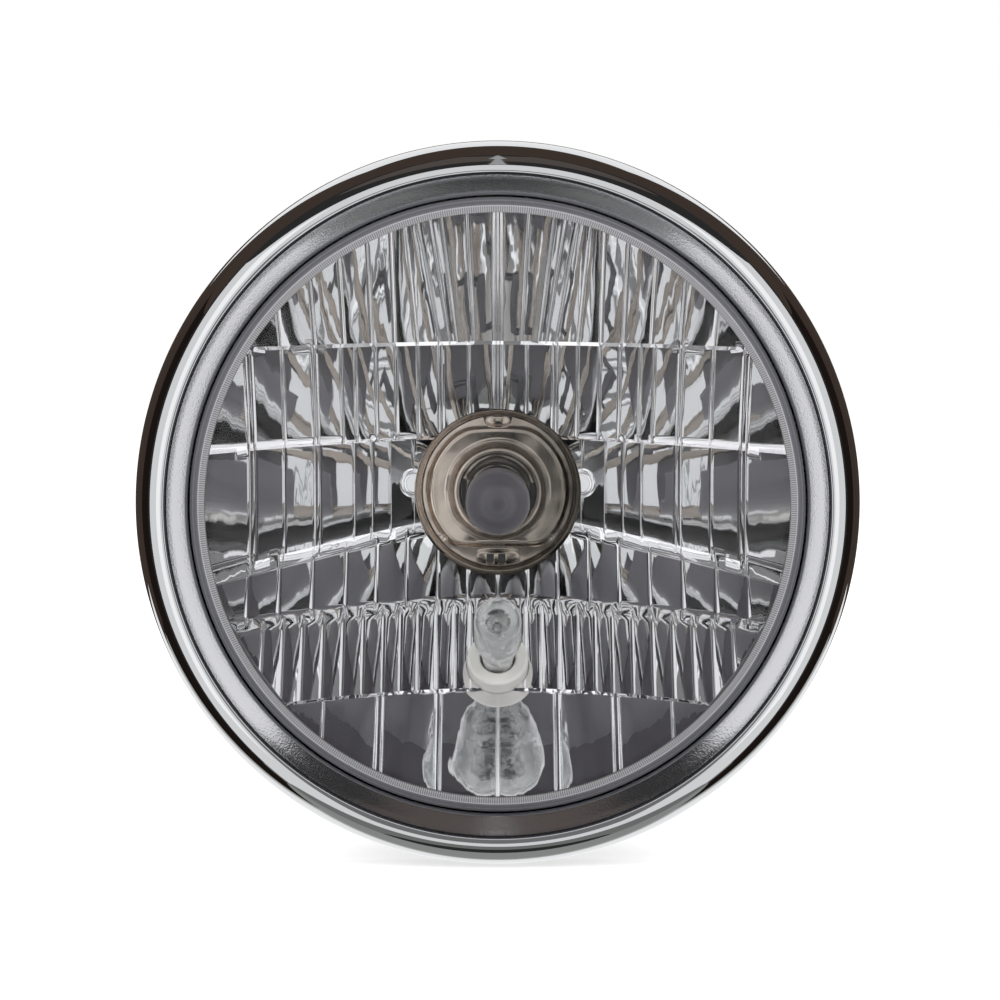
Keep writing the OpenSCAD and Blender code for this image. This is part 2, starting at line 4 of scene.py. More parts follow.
import bmesh
import bpy
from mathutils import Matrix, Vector


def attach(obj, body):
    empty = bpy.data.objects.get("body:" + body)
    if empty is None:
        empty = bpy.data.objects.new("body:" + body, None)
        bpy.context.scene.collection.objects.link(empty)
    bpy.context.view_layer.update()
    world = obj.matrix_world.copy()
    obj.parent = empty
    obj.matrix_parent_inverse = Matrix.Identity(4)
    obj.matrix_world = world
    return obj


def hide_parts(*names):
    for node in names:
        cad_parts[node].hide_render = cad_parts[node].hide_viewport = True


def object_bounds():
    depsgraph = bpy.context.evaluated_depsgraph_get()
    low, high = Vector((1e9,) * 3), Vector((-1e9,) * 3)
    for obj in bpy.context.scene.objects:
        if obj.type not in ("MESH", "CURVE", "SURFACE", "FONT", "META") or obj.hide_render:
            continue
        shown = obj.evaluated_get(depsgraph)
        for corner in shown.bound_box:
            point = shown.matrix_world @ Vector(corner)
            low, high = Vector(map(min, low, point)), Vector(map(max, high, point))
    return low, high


bpy.context.scene.view_settings.view_transform = "Standard"
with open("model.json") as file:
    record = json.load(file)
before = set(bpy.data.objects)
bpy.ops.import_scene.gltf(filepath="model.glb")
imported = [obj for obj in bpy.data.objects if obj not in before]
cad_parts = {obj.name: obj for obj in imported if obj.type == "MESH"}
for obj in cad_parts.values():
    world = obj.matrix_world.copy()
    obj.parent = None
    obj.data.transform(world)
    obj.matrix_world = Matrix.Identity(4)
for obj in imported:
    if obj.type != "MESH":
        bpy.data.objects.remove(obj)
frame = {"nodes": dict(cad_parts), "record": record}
cad_low, cad_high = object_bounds()

MM = 0.001

# Sizes of the lamp in millimetres, those of the part's source apart from its finer curves. r is
# the distance from the lamp's axis and h the height in front of the rim's rear edge, so a point
# lies at y = -h. Turns are in degrees.
RIM_R = 95.0
RIM_H = 22.5
RIM_WALL = 1.0
SKIRT_H = 9.0
BEAD_W = 8.25
OPENING_R = 80.6
MIRROR_R = 76.8
FOCAL = 25.3
MIRROR_EDGE_H = 14.0
VERTEX_H = MIRROR_EDGE_H - MIRROR_R ** 2 / (4 * FOCAL)
SHELL_T = 5.0
THROAT_R = 22.8
NECK_R = 31.5
SHELF_R = 86.4
SHELF_H = 12.9
LENS_R = 80.3
LENS_WALL = 2.2
SHOULDER_W = 4.0
DOME_R = LENS_R - SHOULDER_W
DOME_H = 18.8
DOME_RISE = 13.4
FLANGE_R = 21.5
FLANGE_T = 1.2
PLATE_R = 19.0
PLATE_FLAT_ABOVE = 17.4
PLATE_FLAT_BELOW = 15.0
LUG_TURNS = (90, -41, 221)
HOLE_X = (-3.1, 0.1)
BULB_REACH = 56.0
BULB_R = 8.5
LAMP_DROP = 47.5
LAMP_TILT = math.radians(37)
LAMP_H = VERTEX_H + LAMP_DROP ** 2 / (4 * FOCAL)
LAMP_GLASS_R = 6.35
LAMP_GLASS_WALL = 0.75

# Where the camera aims and stands, in metres and degrees, and how wide its picture is there.
CAMERA_AIM = Vector((0.0006, -0.0225, 0.0019))
CAMERA_DISTANCE = 1.05
CAMERA_RISE = 3.9
PICTURE_W = 0.2592
SENSOR_W = 36.0


class Value:
    """A shader socket that can be used in sums."""

    def __init__(self, paint, socket):
        self.paint = paint
        self.socket = socket

    def __add__(self, other):
        return self.paint.maths("ADD", self, other)

    def __radd__(self, other):
        return self.paint.maths("ADD", other, self)

    def __sub__(self, other):
        return self.paint.maths("SUBTRACT", self, other)

    def __rsub__(self, other):
        return self.paint.maths("SUBTRACT", other, self)

    def __mul__(self, other):
        return self.paint.maths("MULTIPLY", self, other)

    def __rmul__(self, other):
        return self.paint.maths("MULTIPLY", other, self)

    def __gt__(self, other):
        return self.paint.maths("GREATER_THAN", self, other)

    def __lt__(self, other):
        return self.paint.maths("LESS_THAN", self, other)


class Paint:
    """One material, or the studio's air, and the nodes that make it."""

    def __init__(self, name, owner=None):
        self.owner = owner or bpy.data.materials.new(name)
        self.owner.use_nodes = True
        self.tree = self.owner.node_tree
        self.tree.nodes.clear()

    def node(self, kind, settings=None, values=None):
        """A new node of a type, with its settings and its sockets' values or links."""
        made = self.tree.nodes.new(kind)
        for key, value in (settings or {}).items():
            if key == "stops":
                while len(made.color_ramp.elements) < len(value):
                    made.color_ramp.elements.new(0.5)
                for element, (position, tint) in zip(made.color_ramp.elements, value):
                    element.position = position
                    element.color = tint
            else:
                setattr(made, key, value)
        for key, value in (values or {}).items():
            if isinstance(value, Value):
                self.tree.links.new(value.socket, made.inputs[key])
            else:
                made.inputs[key].default_value = value
        return made

    def take(self, node, output=0):
        return Value(self, node.outputs[output])

    def maths(self, operation, *values):
        return self.take(self.node("ShaderNodeMath", {"operation": operation}, dict(enumerate(values))))

    def place(self):
        """Place on the object, in metres."""
        return self.take(self.node("ShaderNodeTexCoord"), "Object")

    def split(self, vector):
        node = self.node("ShaderNodeSeparateXYZ", values={0: vector})
        return self.take(node, 0), self.take(node, 1), self.take(node, 2)

    def vector(self, *values):
        return self.take(self.node("ShaderNodeCombineXYZ", values=dict(enumerate(values))))

    def noise(self, scale, detail, where):
        values = {"Scale": scale, "Detail": detail, "Vector": where}
        return self.take(self.node("ShaderNodeTexNoise", values=values))

    def ramp(self, factor, stops):
        return self.take(self.node("ShaderNodeValToRGB", {"stops": stops}, {0: factor}))

    def blend(self, factor, first, second):
        node = self.node("ShaderNodeMix", {"data_type": "RGBA"}, {0: factor, 6: first, 7: second})
        return self.take(node, 2)

    def bump(self, height, distance, strength=1.0):
        values = {"Height": height, "Distance": distance, "Strength": strength}
        return self.take(self.node("ShaderNodeBump", values=values))

    def shader(self, kind, **values):
        """A shader node. An underline in a socket's name stands for a space."""
        named = {key.replace("_", " "): value for key, value in values.items()}
        return self.take(self.node(kind, values=named))

    def mixed(self, share, first, second):
        return self.take(self.node("ShaderNodeMixShader", values={0: share, 1: first, 2: second}))

    def surface(self, shader, out="ShaderNodeOutputMaterial"):
        self.node(out, values={"Surface": shader})
        return self.owner

    def solid(self, **values):
        return self.surface(self.shader("ShaderNodeBsdfPrincipled", **values))


def colour(r, g, b):
    """A colour as it looks on a screen, 0 to 255, made linear."""
    def linear(c):
        c = c / 255
        return c / 12.92 if c <= 0.04045 else ((c + 0.055) / 1.055) ** 2.4
    return (linear(r), linear(g), linear(b), 1.0)


def plain(name, tint, roughness, metallic=0.0):
    return Paint(name).solid(Base_Color=tint, Roughness=roughness, Metallic=metallic)


def grained_metal(name, tint, roughness, grain, scale=900.0):
    """A bare metal whose polish is a little uneven."""
    paint = Paint(name)
    speck = paint.noise(scale, 3.0, paint.place())
    return paint.solid(Base_Color=tint, Metallic=1.0, Roughness=roughness + (speck - 0.5) * grain)


def satin_chrome():
    paint = Paint("satin_chrome")
    speck = paint.noise(1900.0, 2.0, paint.place())
    return paint.solid(
        Base_Color=colour(228, 228, 232),
        Metallic=1.0,
        Roughness=0.14 + (speck - 0.5) * 0.1,
        Normal=paint.bump(speck, 0.00005, 0.6),
    )


def mirror_coat():
    """Bright coat on moulded plastic: it flows a little along the flutes."""
    paint = Paint("mirror_coat")
    x, y, z = paint.split(paint.place())
    flow = paint.vector(x * 190.0, y * 40.0, z * 42.0)
    ripple = paint.noise(1.0, 1.0, flow) + paint.noise(3.1, 1.0, flow) * 0.12
    return paint.solid(
        Base_Color=colour(250, 249, 251),
        Metallic=1.0,
        Roughness=0.02,
        Normal=paint.bump(ripple, 0.00006, 1.0),
    )


def nickel():
    """Warm pressed nickel, a little cloudy and hardly flat anywhere, with painted light: lighter to the left
    and darker to the right.
    """
    paint = Paint("bulb_nickel")
    place = paint.place()
    x, y, z = paint.split(place)
    cloud = paint.noise(160.0, 4.0, place)
    # Random cloud in the tone, plus painted light and shade: lighter to the left, darker to the right.
    cloud_and_painted_light = cloud * 0.8 + 0.1 - x * 22.0
    return paint.solid(
        Base_Color=paint.blend(cloud_and_painted_light, colour(116, 110, 102), colour(226, 212, 200)),
        Metallic=1.0,
        Roughness=0.09 + cloud * 0.1,
        Normal=paint.bump(paint.noise(75.0, 1.0, place), 0.0007, 1.0),
    )


def clear(name, tint, share):
    """Thin clear glass: it passes what is behind it and mirrors a little by Fresnel."""
    paint = Paint(name)
    fresnel = paint.take(paint.node("ShaderNodeFresnel", values={"IOR": 1.35}))
    through = paint.shader("ShaderNodeBsdfTransparent", Color=tint)
    shine = paint.shader("ShaderNodeBsdfGlossy", Roughness=0.0)
    return paint.surface(paint.mixed(fresnel * share, through, shine))


def blown_glass():
    """Thick clear glass of the small bulb, with painted reflection: a white layer towards its edges and in
    blotches.
    """
    paint = Paint("blown_glass")
    fresnel = paint.take(paint.node("ShaderNodeFresnel", values={"IOR": 1.55}))
    wave = paint.noise(330.0, 2.0, paint.place())
    dents = paint.bump(wave, 0.0006)
    through = paint.shader("ShaderNodeBsdfTransparent", Color=(0.96, 0.97, 0.97, 1.0))
    shine = paint.shader("ShaderNodeBsdfGlossy", Roughness=0.03, Normal=dents)
    wall = paint.mixed(fresnel * 1.8 + 0.06, through, shine)
    painted_sheen = paint.shader(
        "ShaderNodeBsdfPrincipled", Base_Color=colour(252, 252, 252), Roughness=0.06, Normal=dents
    )
    # Painted highlights: the white layer's share rises towards the edges and in blotches where the noise is
    # high.
    share = fresnel * 6.0 - 0.42 + (wave > 0.6) * 0.4
    return paint.surface(paint.mixed(share, wall, painted_sheen))


def tip_paint():
    """Dull violet-grey paint on the bulb's tip, with faint rings round its middle and a darker spot in the
    middle.
    """
    paint = Paint("tip_paint")
    x, y, z = paint.split(paint.place())
    radius = paint.maths("SQRT", x * x + z * z)
    rings = paint.maths("SINE", radius * 2600.0) * 0.5 + 0.5
    middle = (radius < 0.0019) * 0.5
    return paint.solid(
        Base_Color=paint.blend(rings * 0.35 + middle, colour(80, 76, 83), colour(60, 56, 62)), Roughness=0.36
    )


def lens_edge():
    """Moulded glass at the lens's shoulder: a light toothed ring inside a dark grooved one. Its light and
    dark are painted reflection and shade of the clear glass, with a painted highlight along the lip.
    """
    paint = Paint("lens_edge")
    x, y, z = paint.split(paint.place())
    turn = paint.maths("ARCTAN2", x, z)
    radius = paint.maths("SQRT", x * x + z * z)
    across = (radius - DOME_R * MM) * (1 / (SHOULDER_W * MM))
    # Painted reflection and shade across the shoulder, with a painted highlight at 0.43 along the lip.
    painted_glass_bands = paint.ramp(across, (
        (0.0, colour(140, 131, 126)), (0.05, colour(190, 189, 190)), (0.36, colour(184, 184, 188)),
        (0.43, colour(214, 214, 218)), (0.5, colour(112, 112, 118)), (0.68, colour(98, 97, 103)),
        (0.8, colour(132, 132, 137)), (0.86, colour(96, 95, 100)), (1.0, colour(126, 127, 131)),
    ))
    # Painted shade in the teeth and along the grooves' fine lines, on top of their bump.
    teeth = paint.maths("SINE", turn * 840.0) * 0.5 + 0.5
    lines = paint.noise(1.0, 3.0, paint.vector(radius * 5200.0, turn * 1.5))
    toothed = across < 0.42
    shade = teeth * (toothed * 0.55 + 0.1) + lines * 0.3
    lit = paint.shader(
        "ShaderNodeBsdfPrincipled",
        Base_Color=paint.blend(shade, painted_glass_bands, colour(84, 84, 90)),
        Roughness=0.3,
        Normal=paint.bump(teeth, 0.0001, 0.5),
    )
    through = paint.shader("ShaderNodeBsdfTransparent", Color=colour(225, 230, 236))
    return paint.surface(paint.mixed(0.88, through, lit))


def rubber():
    paint = Paint("black_rubber")
    speck = paint.noise(1400.0, 3.0, paint.place())
    return paint.solid(
        Base_Color=colour(34, 34, 36), Roughness=0.6 + speck * 0.2, Normal=paint.bump(speck, 0.00008, 0.4)
    )


def mesh_piece(name, points, faces, materials, slots=None, sharp=30.0):
    """A piece from points in millimetres as (x, up, h), with one material per face."""
    mesh = bpy.data.meshes.new(name)
    mesh.from_pydata([(x * MM, -h * MM, up * MM) for x, up, h in points], [], faces)
    for material in materials:
        mesh.materials.append(material)
    if slots:
        for polygon, slot in zip(mesh.polygons, slots):
            polygon.material_index = slot
    mesh.validate()
    turn_outwards(mesh)
    obj = bpy.data.objects.new(name, mesh)
    bpy.context.scene.collection.objects.link(obj)
    soften(obj, sharp)
    return obj


def turn_outwards(mesh):
    """Makes every face look out of the closed form."""
    shape = bmesh.new()
    shape.from_mesh(mesh)
    bmesh.ops.recalc_face_normals(shape, faces=shape.faces)
    shape.to_mesh(mesh)
    shape.free()


def soften(obj, sharp=30.0):
    """Shades a piece smooth, apart from edges that turn by more than sharp degrees."""
    for polygon in obj.data.polygons:
        polygon.use_smooth = True
    obj.data.set_sharp_from_angle(angle=math.radians(sharp))


def lathe(name, profile, materials, slots=None, steps=256, sharp=30.0):
    """Turns a closed outline of (r, h) round the lamp's axis. slots gives a material per edge."""
    points = []
    rings = []
    for r, h in profile:
        if r < 1e-6:
            rings.append([len(points)] * steps)
            points.append((0.0, 0.0, h))
            continue
        rings.append(list(range(len(points), len(points) + steps)))
        for i in range(steps):
            a = 2 * math.pi * i / steps
            points.append((r * math.cos(a), r * math.sin(a), h))
    faces = []
    used = []
    for k in range(len(profile)):
        a, b = rings[k], rings[(k + 1) % len(profile)]
        for i in range(steps):
            j = (i + 1) % steps
            corner = [a[i], a[j], b[j], b[i]]
            face = [c for n, c in enumerate(corner) if c not in corner[:n]]
            if len(face) > 2:
                faces.append(face)
                used.append(slots[k] if slots else 0)
    return mesh_piece(name, points, faces, materials, used, sharp)


def combine(obj, operation, tools):
    """Joins other pieces to a piece, cuts them out of it, or keeps what it shares with them."""
    for tool in tools:
        change = obj.modifiers.new("combine", "BOOLEAN")
        change.operation = operation
        change.object = tool
        change.solver = "MANIFOLD"
    bpy.context.view_layer.update()
    made = bpy.data.meshes.new_from_object(obj.evaluated_get(bpy.context.evaluated_depsgraph_get()))
    obj.modifiers.clear()
    obj.data = made
    for tool in tools:
        bpy.data.objects.remove(tool)
    return obj


def block(name, x0, x1, up0, up1, h0, h1, material=None):
    """A box between two heights, with its sides along x and up."""
    points = [(x, up, h) for x in (x0, x1) for up in (up0, up1) for h in (h0, h1)]
    faces = [(0, 1, 3, 2), (4, 6, 7, 5), (0, 4, 5, 1), (2, 3, 7, 6), (0, 2, 6, 4), (1, 5, 7, 3)]
    return mesh_piece(name, points, faces, [material] if material else [])


def arc(r0, h0, rr, rh, first, last, count):
    """Points (r, h) on a round or oval arc between two angles in degrees."""
    turns = [math.radians(first + (last - first) * i / count) for i in range(count + 1)]
    return [(r0 + rr * math.cos(t), h0 + rh * math.sin(t)) for t in turns]


def keep(obj, node):
    """Puts a finished piece in the place of its plain CAD solid."""
    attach(obj, "root")
    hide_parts(node)
    return obj


def build_rim(chrome, satin, painted_crease_shade):
    """The pressed rim: a bead outside, a crease darkened with painted shade, then the satin cone down to the
    lip.
    """
    bead_h = RIM_H - SKIRT_H
    bead_in = RIM_R - BEAD_W
    outline = [(92.4, 0.0), (94.4, 0.0), (94.8, 0.2), (RIM_R, 0.6)]
    outline += arc(bead_in, SKIRT_H, BEAD_W, bead_h, 0, 90, 48)
    crease = [(86.5, 22.44), (86.32, 22.2), (86.22, 21.85), (86.15, 21.6), (86.0, 21.4)]
    first_painted_shade = len(outline) - 1
    outline += crease
    first_satin = len(outline) - 1
    outline += [(84.4, 20.1), (82.8, 18.8), (81.6, 17.82)]
    last_satin = len(outline) - 1
    outline += [(81.3, 17.55), (80.95, 17.15), (80.72, 16.75), (OPENING_R, 16.3), (OPENING_R, 15.8)]
    outline += [(81.4, 15.8), (86.0, 20.3)]
    outline += reversed(arc(bead_in, SKIRT_H, BEAD_W - RIM_WALL, bead_h - RIM_WALL, 0, 90, 24))
    outline += [(RIM_R - RIM_WALL, RIM_WALL), (92.4, RIM_WALL)]
    # The crease's step faces take slot 2, a dark chrome that is painted shade.
    slots = [0] * first_painted_shade + [2] * (first_satin - first_painted_shade)
    slots += [1] * (last_satin - first_satin) + [0] * (len(outline) - last_satin)
    rim = lathe("rim", outline, [chrome, satin, painted_crease_shade], slots, steps=360)
    notches = [block("notch", side * 91 - 2.99, side * 91 + 2.99, -8.3, 8.3, -1, 1.5) for side in (-1, 1)]
    return keep(combine(rim, "DIFFERENCE", notches), "trim_rim")


# The mirror's six rows of flutes, from the top down. Row k lies between the borders k and k + 1.
# A border stands at ROW_TOP on the middle line and falls by ROW_FALL to each side, and a ledge
# takes LEDGE from the rows above and below it. ROW_LIFT and ROW_ARCH stand a row proud of the
# dish, and CALM takes its flutes back to how flat they look.
SPAN = MIRROR_R + 2.3
ROW_TOP = (SPAN, 41.2, 15.2, -6.2, -30.0, -51.8, -SPAN)
ROW_FALL = (0.0, 0.008, 0.02, 0.175, 0.025, 0.008, 0.0)
LEDGE = (0.0, 0.5, 0.5, 1.45, 1.15, 0.45, 0.0)
ROW_LIFT = (0.0, 0.8, 0.0, 1.6, 2.4, 1.2)
ROW_ARCH = (0.7, 0.45, 0.6, 0.2, 0.5, 0.5)
CALM = (0.2, 0.18, 0.17, 0.26, 0.5, 0.3)
# Width and depth of the rib's side at each flute's border.
RIB = 0.22
RIB_DEPTH = 0.06
# Flutes of each row from the middle outwards: where one ends, how far it stands proud in its
# middle, and how it leans sideways. Left and right are the same.
FLUTES = (
    ((0.9, 0.3, 0.0), (6.4, 0.32, 0.05), (11.2, 0.5, -0.05), (13.0, -0.1, 0.1), (15.7, 0.05, 0.3),
     (21.7, 0.55, 0.0), (27.8, 0.6, -0.1), (33.8, 0.35, 0.12), (41.0, 0.7, 0.0), (48.5, 0.5, 0.1),
     (57.0, 0.8, 0.0), (SPAN, 0.6, 0.0)),
    ((0.9, 0.25, 0.0), (7.8, 0.5, 0.1), (15.0, 0.45, -0.05), (15.9, 0.3, 0.0), (21.6, 0.5, 0.1),
     (27.5, 0.55, -0.1), (32.8, 0.3, 0.15), (38.2, 0.6, 0.0), (41.9, 0.3, -0.1), (48.3, 0.55, 0.0),
     (49.3, 0.3, 0.0), (56.8, 0.5, 0.1), (64.4, 0.4, -0.1), (65.8, 0.35, 0.0), (SPAN, 0.5, 0.1)),
    ((14.6, 0.8, 0.0), (23.0, 0.5, 0.1), (29.3, 0.4, -0.15), (34.2, 0.35, 0.1), (39.0, 0.4, 0.0),
     (47.9, 0.6, 0.05), (49.3, 0.35, 0.0), (57.0, 0.35, 0.1), (64.3, 0.5, -0.05), (65.7, 0.35, 0.0),
     (SPAN, 0.4, 0.05)),
    ((8.1, 0.7, 0.0), (16.3, 0.75, 0.0), (24.8, 0.7, 0.05), (32.9, 0.7, -0.05), (41.0, 0.7, 0.05),
     (49.7, 0.7, 0.0), (58.2, 0.7, 0.05), (66.0, 0.6, 0.0), (SPAN, 0.5, 0.0)),
    ((3.8, 0.5, 0.0), (7.6, 0.55, 0.0), (11.9, 0.55, 0.0), (16.7, 0.6, 0.0), (21.6, 0.6, 0.0),
     (26.3, 0.6, 0.0), (30.9, 0.6, 0.0), (36.2, 0.6, 0.0), (41.5, 0.6, 0.0), (46.7, 0.6, 0.0),
     (51.9, 0.6, 0.0), (56.9, 0.6, 0.0), (62.0, 0.6, 0.0), (SPAN, 0.5, 0.0)),
    ((15.2, 0.7, 0.0), (16.6, 0.3, 0.0), (30.6, 0.8, 0.05), (32.2, 0.35, 0.0), (46.0, 0.7, 0.0),
     (SPAN, 0.6, 0.0)),
)


def dish(x, up):
    """The plain dish that the flutes are set on."""
    return VERTEX_H + (x * x + up * up) / (4 * FOCAL)


def border(k, x):
    """Height of the line above row k at x."""
    return ROW_TOP[k] - ROW_FALL[k] * abs(x)


def flute_edges(k):
    return [0.0] + [end for end, proud, lean in FLUTES[k]]


def bulge(k, x):
    """How far the mirror stands proud of its dish at x, from the flute that x lies in."""
    edges = flute_edges(k)
    a = abs(x)
    i = max(n for n in range(len(edges) - 1) if a >= edges[n] - 1e-9)
    half = (edges[i + 1] - edges[i]) / 2
    off = a - (edges[i + 1] + edges[i]) / 2
    end, proud, lean = FLUTES[k][i]
    face = CALM[k] * proud * (1 - (off / half) ** 2) + lean * off * 0.5
    to_border = half - abs(off)
    rib = RIB_DEPTH * (1 - (to_border / RIB) ** 2) if to_border < RIB else 0.0
    return face - rib


def arch(k, t):
    """How far row k stands proud at the share t of its height."""
    return ROW_ARCH[k] * (1 - (2 * t - 1) ** 2)


def splay(k, x, up):
    """The top row's lines spread outwards towards its top."""
    if k:
        return x
    a = abs(x)
    spread = 5.0 * max(0.0, 1 - abs(a - 15.0) / 12.0) + 0.035 * max(0.0, a - 27.0)
    return x + math.copysign(spread * (up - ROW_TOP[1]) / 31.0, x)


def mirror_columns(k, fine):
    """Places of row k's points across the mirror, closer together on the ribs."""
    edges = flute_edges(k)
    right = []
    for low, high in zip(edges, edges[1:]):
        count = max(4, round((high - low) / fine))
        first, last = low + RIB, high - RIB
        right += [low, low + RIB / 3, low + 2 * RIB / 3]
        right += [first + (last - first) * i / count for i in range(count + 1)]
        right += [high - 2 * RIB / 3, high - RIB / 3]
    right.append(edges[-1])
    return [-x for x in reversed(right[1:])] + right


def mirror_row(k, fine, points, faces):
    """Adds one row of the mirror. Gives its columns' places and its points, column by column."""
    columns = mirror_columns(k, fine)
    steps = max(4, round(abs(ROW_TOP[k] - ROW_TOP[k + 1]) / (fine * 3)))
    grid = []
    for x in columns:
        high = border(k, x) - LEDGE[k]
        low = border(k + 1, x) + LEDGE[k + 1]
        line = []
        for j in range(steps + 1):
            up = high + (low - high) * j / steps
            at = splay(k, x, up)
            line.append(len(points))
            points.append((at, up, dish(at, up) + ROW_LIFT[k] + bulge(k, x) + arch(k, j / steps)))
        grid.append(line)
    for left, right in zip(grid, grid[1:]):
        for j in range(steps):
            faces.append((left[j], left[j + 1], right[j + 1], right[j]))
    return columns, grid


def close_ledge(upper_row, lower_row, faces):
    """Fills the ledge between two rows, whose columns stand at other places."""
    upper_x, upper = upper_row
    lower_x, lower = lower_row
    i = j = 0
    while i < len(upper_x) - 1 or j < len(lower_x) - 1:
        if j == len(lower_x) - 1 or (i < len(upper_x) - 1 and upper_x[i + 1] <= lower_x[j + 1]):
            faces.append((upper[i][-1], lower[j][0], upper[i + 1][-1]))
            i += 1
        else:
            faces.append((upper[i][-1], lower[j][0], lower[j + 1][0]))
            j += 1


def light_space(coat):
    """The space in front of the mirror, as one closed form. Its rear is the faceted mirror."""
    fine = 0.55
    points = []
    faces = []
    rows = [mirror_row(k, fine, points, faces) for k in range(6)]
    for upper_row, lower_row in zip(rows, rows[1:]):
        close_ledge(upper_row, lower_row, faces)
    loop = [line[0] for line in rows[0][1]]
    for k, (columns, grid) in enumerate(rows):
        loop += grid[-1][1:] if k == 0 else grid[-1]
    loop += [line[-1] for line in reversed(rows[5][1][:-1])]
    for k in range(5, -1, -1):
        side = list(reversed(rows[k][1][0]))
        loop += side[1:] if k == 5 else side
    loop.pop()
    first = len(points)
    points += [(points[i][0], points[i][1], 90.0) for i in loop]
    count = len(loop)
    for i in range(count):
        j = (i + 1) % count
        faces.append((loop[i], loop[j], first + j, first + i))
    faces.append(tuple(first + i for i in reversed(range(count))))
    return mesh_piece("light_space", points, faces, [coat])


def to_lamp_axis(obj):
    """Moves a turned piece from the main axis to the position lamp's tilted axis."""
    for vertex in obj.data.vertices:
        h, up = -vertex.co.y, vertex.co.z
        vertex.co.z = -LAMP_DROP * MM + up * math.cos(LAMP_TILT) + h * math.sin(LAMP_TILT)
        vertex.co.y = -(LAMP_H * MM - up * math.sin(LAMP_TILT) + h * math.cos(LAMP_TILT))
    return obj


def tilted_plug(name, radius, h0, h1, material, steps=96):
    """A plain cylinder on the position lamp's tilted axis."""
    points = []
    for h in (h0, h1):
        for i in range(steps):
            a = 2 * math.pi * i / steps
            points.append((radius * math.cos(a), radius * math.sin(a), h))
    faces = [tuple(reversed(range(steps))), tuple(range(steps, 2 * steps))]
    faces += [(i, (i + 1) % steps, steps + (i + 1) % steps, steps + i) for i in range(steps)]
    return to_lamp_axis(mesh_piece(name, points, faces, [material]))


def plug(name, radius, h0, h1, material, steps=192):
    """A plain cylinder on the lamp's axis."""
    return lathe(name, [(0.0, h0), (radius, h0), (radius, h1), (0.0, h1)], [material], steps=steps)


def throat_bump(side, coat):
    """One of the two half-round bumps beside the throat, with a rounded front."""
    profile = [(0.0, 1.0), (4.0, 1.0), (4.0, 6.4)]
    profile += arc(2.2, 6.4, 1.8, 2.6, 15, 90, 6)
    profile += [(0.0, 8.6)]
    bump = lathe("throat_bump", profile, [coat], steps=64)
    for vertex in bump.data.vertices:
        vertex.co += Vector((side * THROAT_R, -VERTEX_H, 2.4)) * MM
    return bump


def shell_back(r):
    """Height of the shell's rear face."""
    return VERTEX_H - SHELL_T + r * r / (4 * FOCAL)


def build_reflector(coat, shell):
    outline = [(0.0, 15.5), (77.5, 15.5), (77.8, 15.2), (77.8, 9.2), (81.3, 9.2), (81.3, SHELF_H)]
    outline += [(SHELF_R, SHELF_H), (SHELF_R, 8.6), (83.6, 8.6), (82.6, shell_back(75.6))]
    outline += [(r, shell_back(r)) for r in [75.6 - 44.1 * i / 40 for i in range(41)]]
    outline += [(NECK_R, VERTEX_H), (0.0, VERTEX_H)]
    bowl = lathe("reflector_body", outline, [shell, coat], steps=288)
    combine(bowl, "UNION", [tilted_plug("boss", 12.0, -8.0, -2.0, shell)])
    front = light_space(coat)
    combine(front, "INTERSECT", [plug("limit", MIRROR_R, -70.0, 50.0, coat, 360)])
    combine(front, "DIFFERENCE", [throat_bump(side, coat) for side in (-1, 1)])
    throat = plug("throat", THROAT_R, VERTEX_H - 3, VERTEX_H + 21, coat)
    lamp_hole = tilted_plug("lamp_hole", 8.5, -10.0, 6.0, coat)
    combine(bowl, "DIFFERENCE", [front, throat, lamp_hole])
    soften(bowl, 24.0)
    return keep(bowl, "reflector")


def build_lens(glass, edge):
    """The lens, its sides as one wall. Slot 1 is the toothed edge at its shoulder."""
    lens_in = LENS_R - LENS_WALL
    ball = (DOME_R ** 2 + DOME_RISE ** 2) / (2 * DOME_RISE)

    def dome(r):
        return DOME_H + math.sqrt(ball ** 2 - r * r) - (ball - DOME_RISE)

    foot = [(lens_in, 11.0), (80.9, 11.0), (80.9, SHELF_H), (SHELF_R, SHELF_H), (SHELF_R, 15.4)]
    foot.append((LENS_R, 15.4))
    shoulder = arc(DOME_R, DOME_H - 2.2, SHOULDER_W, 2.2, 0, 90, 12)
    radii = [DOME_R * (1 - i / 40) for i in range(1, 41)]
    outside = [(r, dome(r)) for r in radii]
    inside = [(r, dome(r) - LENS_WALL) for r in reversed(radii)]
    inner_shoulder = arc(DOME_R, DOME_H - 3.4, 1.8, 1.2, 90, 0, 12)
    edge_slots = [1] * (len(shoulder) - 1) + [0]
    slots = [0] * len(foot) + edge_slots + [0] * (len(outside) + len(inside)) + edge_slots
    outline = foot + shoulder + outside + inside + inner_shoulder
    lens = lathe("lens_glass", outline, [glass, edge], slots, steps=300)
    return keep(lens, "lens")


def build_bulb_glass(glass, tip):
    """The bulb's glass tube, with dark paint over its front end."""
    base, end = VERTEX_H + 2.2, VERTEX_H + BULB_REACH
    inner_r = BULB_R - 1.0
    outline = [(inner_r, base), (BULB_R, base), (BULB_R, end - 19.0)]
    outline += arc(0.0, end - 6.0, BULB_R, 6.0, 0, 90, 20)
    outline += arc(0.0, end - 6.0, inner_r, 5.0, 90, 0, 20)
    slots = [0, 0] + [1] * (len(outline) - 3) + [0]
    tube = lathe("bulb_tube", outline, [glass, tip], slots, steps=128)
    return keep(tube, "bulb_glass")


def turned(name, outline_at, material, steps=288):
    """Like lathe, but outline_at gives the outline for each angle, so that it can have flats."""
    points = []
    for i in range(steps):
        a = 2 * math.pi * i / steps
        points += [(r * math.cos(a), r * math.sin(a), h) for r, h in outline_at(a)]
    count = len(points) // steps
    faces = []
    for i in range(steps):
        here, beyond = i * count, (i + 1) % steps * count
        for k in range(count):
            n = (k + 1) % count
            faces.append((here + k, beyond + k, beyond + n, here + n))
    return mesh_piece(name, points, faces, [material])


